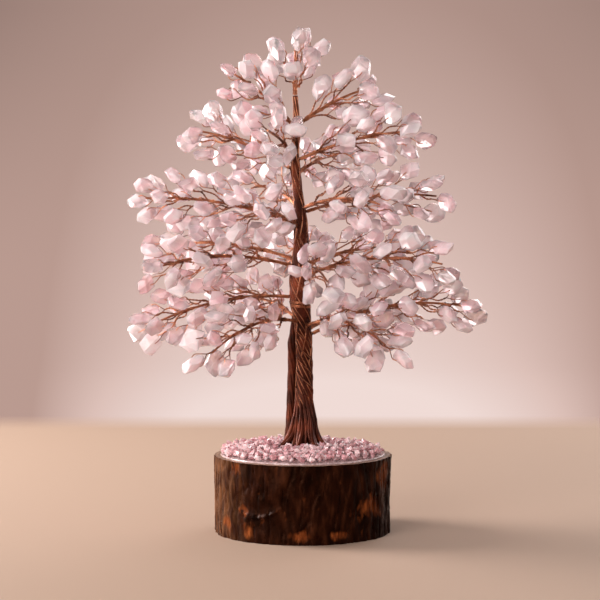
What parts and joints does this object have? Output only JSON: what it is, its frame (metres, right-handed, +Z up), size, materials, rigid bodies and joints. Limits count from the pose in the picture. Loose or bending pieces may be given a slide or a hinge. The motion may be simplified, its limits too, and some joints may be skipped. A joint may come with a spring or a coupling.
{
  "type": "gemstone tree ornament",
  "caption": "Table ornament: a tree of pale pink drilled stones on copper wire branches, with a wound trunk rooted in gravel on a slice of log with its bark.",
  "frame": {"origin": "centre of the log slice's underside, on the surface that it stands on", "axes": "+Z up the trunk, -Y towards the pictured front, +X to its right"},
  "size_m": [0.21, 0.1754, 0.2901],
  "materials": {
    "rose_quartz": "tumbled and polished, cloudy and partly see-through",
    "copper_wire": "drawn copper wire, browned",
    "dark_trunk": "twisted copper wire under dark brown varnish",
    "bark": "varnished bark, dark with rubbed patches",
    "end_grain": "sawn and varnished end grain",
    "clear_glue": "clear set glue",
    "pink_gravel": "crushed pale pink stone, glassy"
  },
  "bodies": {
    "base": {"base_bark": "bark", "base_wood": "end_grain", "binding_wire": "copper_wire", "core_wires": "copper_wire", "glue_bed": "clear_glue", "gravel_inner": "pink_gravel", "gravel_outer": "pink_gravel", "root_toes": "dark_trunk", "trunk_bundle": "dark_trunk", "trunk_side_stem": "dark_trunk", "wrap_wires": "copper_wire"},
    "low_right_branch": {"low_right_wires": "copper_wire", "low_right_stones": "rose_quartz"},
    "low_left_branch": {"low_left_wires": "copper_wire", "low_left_stones": "rose_quartz"},
    "low_front_left_branch": {"low_front_left_wires": "copper_wire", "low_front_left_stones": "rose_quartz"},
    "low_front_right_branch": {"low_front_right_wires": "copper_wire", "low_front_right_stones": "rose_quartz"},
    "low_back_right_branch": {"low_back_right_wires": "copper_wire", "low_back_right_stones": "rose_quartz"},
    "low_back_left_branch": {"low_back_left_wires": "copper_wire", "low_back_left_stones": "rose_quartz"},
    "middle_front_right_branch": {"middle_front_right_wires": "copper_wire", "middle_front_right_stones": "rose_quartz"},
    "middle_back_left_branch": {"middle_back_left_wires": "copper_wire", "middle_back_left_stones": "rose_quartz"},
    "middle_back_branch": {"middle_back_wires": "copper_wire", "middle_back_stones": "rose_quartz"},
    "middle_front_left_branch": {"middle_front_left_wires": "copper_wire", "middle_front_left_stones": "rose_quartz"},
    "middle_front_branch": {"middle_front_wires": "copper_wire", "middle_front_stones": "rose_quartz"},
    "middle_back_right_branch": {"middle_back_right_wires": "copper_wire", "middle_back_right_stones": "rose_quartz"},
    "upper_left_branch": {"upper_left_wires": "copper_wire", "upper_left_stones": "rose_quartz"},
    "upper_right_branch": {"upper_right_wires": "copper_wire", "upper_right_stones": "rose_quartz"},
    "upper_back_branch": {"upper_back_wires": "copper_wire", "upper_back_stones": "rose_quartz"},
    "upper_front_left_branch": {"upper_front_left_wires": "copper_wire", "upper_front_left_stones": "rose_quartz"},
    "upper_front_right_branch": {"upper_front_right_wires": "copper_wire", "upper_front_right_stones": "rose_quartz"},
    "high_left_branch": {"high_left_wires": "copper_wire", "high_left_stones": "rose_quartz"},
    "high_right_branch": {"high_right_wires": "copper_wire", "high_right_stones": "rose_quartz"},
    "high_back_branch": {"high_back_wires": "copper_wire", "high_back_stones": "rose_quartz"},
    "high_front_branch": {"high_front_wires": "copper_wire", "high_front_stones": "rose_quartz"},
    "crest_left_branch": {"crest_left_wires": "copper_wire", "crest_left_stones": "rose_quartz"},
    "crest_right_branch": {"crest_right_wires": "copper_wire", "crest_right_stones": "rose_quartz"},
    "top_branch": {"top_wires": "copper_wire", "top_stones": "rose_quartz"}
  },
  "joints": [
    {"name": "low_right_bend", "type": "hinge", "parent": "base", "child": "low_right_branch", "pos_m": [0.00616, 0, 0.114], "axis": [0, -1, 0], "range_deg": [-20, 3]},
    {"name": "low_left_bend", "type": "hinge", "parent": "base", "child": "low_left_branch", "pos_m": [-0.00804, -0.00022, 0.135], "axis": [-0.0349, 0.9994, 0], "range_deg": [-20, 7]},
    {"name": "low_front_left_bend", "type": "hinge", "parent": "base", "child": "low_front_left_branch", "pos_m": [-0.00352, -0.00451, 0.121], "axis": [-0.7986, 0.6018, 0], "range_deg": [-20, 9]},
    {"name": "low_front_right_bend", "type": "hinge", "parent": "base", "child": "low_front_right_branch", "pos_m": [0.00313, -0.00475, 0.119], "axis": [-0.8387, -0.5446, 0], "range_deg": [-20, 3]},
    {"name": "low_back_right_bend", "type": "hinge", "parent": "base", "child": "low_back_right_branch", "pos_m": [0.00357, 0.00453, 0.116], "axis": [0.809, -0.5878, 0], "range_deg": [-20, 9]},
    {"name": "low_back_left_bend", "type": "hinge", "parent": "base", "child": "low_back_left_branch", "pos_m": [-0.00336, 0.00506, 0.122], "axis": [0.848, 0.5299, 0], "range_deg": [-20, 3]},
    {"name": "middle_front_right_bend", "type": "hinge", "parent": "base", "child": "middle_front_right_branch", "pos_m": [0.00391, -0.00276, 0.148], "axis": [-0.4384, -0.8988, 0], "range_deg": [-3, 6]},
    {"name": "middle_back_left_bend", "type": "hinge", "parent": "base", "child": "middle_back_left_branch", "pos_m": [-0.00651, 0.00238, 0.157], "axis": [0.4226, 0.9063, 0], "range_deg": [-9, 9]},
    {"name": "middle_back_bend", "type": "hinge", "parent": "base", "child": "middle_back_branch", "pos_m": [-0.00171, 0.00601, 0.151], "axis": [1, 0, 0], "range_deg": [-4, 7]},
    {"name": "middle_front_left_bend", "type": "hinge", "parent": "base", "child": "middle_front_left_branch", "pos_m": [-0.00671, -0.0027, 0.153], "axis": [-0.4695, 0.8829, 0], "range_deg": [-7, 4]},
    {"name": "middle_front_bend", "type": "hinge", "parent": "base", "child": "middle_front_branch", "pos_m": [-0.00023, -0.00612, 0.148], "axis": [-0.9703, -0.2419, 0], "range_deg": [-3, 12]},
    {"name": "middle_back_right_bend", "type": "hinge", "parent": "base", "child": "middle_back_right_branch", "pos_m": [0.0031, 0.0034, 0.154], "axis": [0.5878, -0.809, 0], "range_deg": [-9, 6]},
    {"name": "upper_left_bend", "type": "hinge", "parent": "base", "child": "upper_left_branch", "pos_m": [-0.00592, -0.00041, 0.178], "axis": [-0.0872, 0.9962, 0], "range_deg": [-6, 5]},
    {"name": "upper_right_bend", "type": "hinge", "parent": "base", "child": "upper_right_branch", "pos_m": [0.00269, 0.0003, 0.184], "axis": [0.0698, -0.9976, 0], "range_deg": [-11, 4]},
    {"name": "upper_back_bend", "type": "hinge", "parent": "base", "child": "upper_back_branch", "pos_m": [-0.00382, 0.00379, 0.188], "axis": [0.8988, 0.4384, 0], "range_deg": [-9, 12]},
    {"name": "upper_front_left_bend", "type": "hinge", "parent": "base", "child": "upper_front_left_branch", "pos_m": [-0.00341, -0.00425, 0.176], "axis": [-0.8746, 0.4848, 0], "range_deg": [-4, 12]},
    {"name": "upper_front_right_bend", "type": "hinge", "parent": "base", "child": "upper_front_right_branch", "pos_m": [0.00088, -0.00322, 0.186], "axis": [-0.766, -0.6428, 0], "range_deg": [-8, 8]},
    {"name": "high_left_bend", "type": "hinge", "parent": "base", "child": "high_left_branch", "pos_m": [-0.00764, 0.00038, 0.209], "axis": [0.1045, 0.9945, 0], "range_deg": [-6, 4]},
    {"name": "high_right_bend", "type": "hinge", "parent": "base", "child": "high_right_branch", "pos_m": [-0.00112, -0.00081, 0.214], "axis": [-0.2419, -0.9703, 0], "range_deg": [-3, 3]},
    {"name": "high_back_bend", "type": "hinge", "parent": "base", "child": "high_back_branch", "pos_m": [-0.00212, 0.00324, 0.206], "axis": [0.8988, -0.4384, 0], "range_deg": [-15, 12]},
    {"name": "high_front_bend", "type": "hinge", "parent": "base", "child": "high_front_branch", "pos_m": [-0.0057, -0.00312, 0.215], "axis": [-0.9135, 0.4067, 0], "range_deg": [-15, 12]},
    {"name": "crest_left_bend", "type": "hinge", "parent": "base", "child": "crest_left_branch", "pos_m": [-0.00646, -0.00122, 0.234], "axis": [-0.3746, 0.9272, 0], "range_deg": [-6, 3]},
    {"name": "crest_right_bend", "type": "hinge", "parent": "base", "child": "crest_right_branch", "pos_m": [-0.00048, 0.00095, 0.235], "axis": [0.309, -0.9511, 0], "range_deg": [-4, 5]},
    {"name": "top_bend", "type": "hinge", "parent": "base", "child": "top_branch", "pos_m": [-0.0042, 0, 0.25074], "axis": [0, 1, 0], "range_deg": [-7, 6]}
  ]
}
